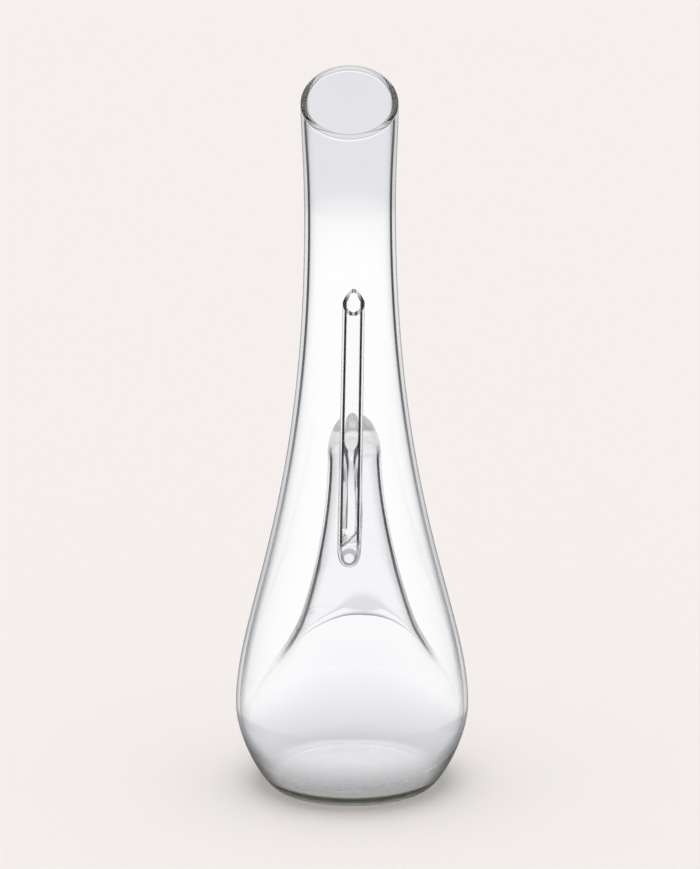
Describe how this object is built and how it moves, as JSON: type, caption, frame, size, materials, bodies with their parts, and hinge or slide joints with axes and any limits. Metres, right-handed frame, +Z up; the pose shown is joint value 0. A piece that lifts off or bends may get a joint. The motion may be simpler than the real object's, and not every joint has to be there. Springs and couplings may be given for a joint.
{
  "type": "decanter",
  "caption": "Tall drop-shaped clear glass decanter with a slanted mouth, a closed inner bell that parts two chambers, and an inner pouring tube.",
  "frame": {"origin": "centre of the foot, on the plane that it stands on", "axes": "+Z up along the body; -Y is the front, where the mouth is low and the pouring tube stands; the bell stands towards +Y"},
  "size_m": [0.1236, 0.1236, 0.3829],
  "materials": {
    "clear_glass": "fire-polished clear glass",
    "base_glass": "thick clear glass, faintly green where it is deep",
    "bell_glass": "thin blown clear glass",
    "tube_glass": "drawn clear glass tubing, fire-polished ends"
  },
  "bodies": {
    "root": {"outer_shell": "clear_glass", "base": "base_glass", "inner_bell": "bell_glass", "pour_tube": "tube_glass", "tube_heel": "tube_glass"}
  },
  "joints": []
}
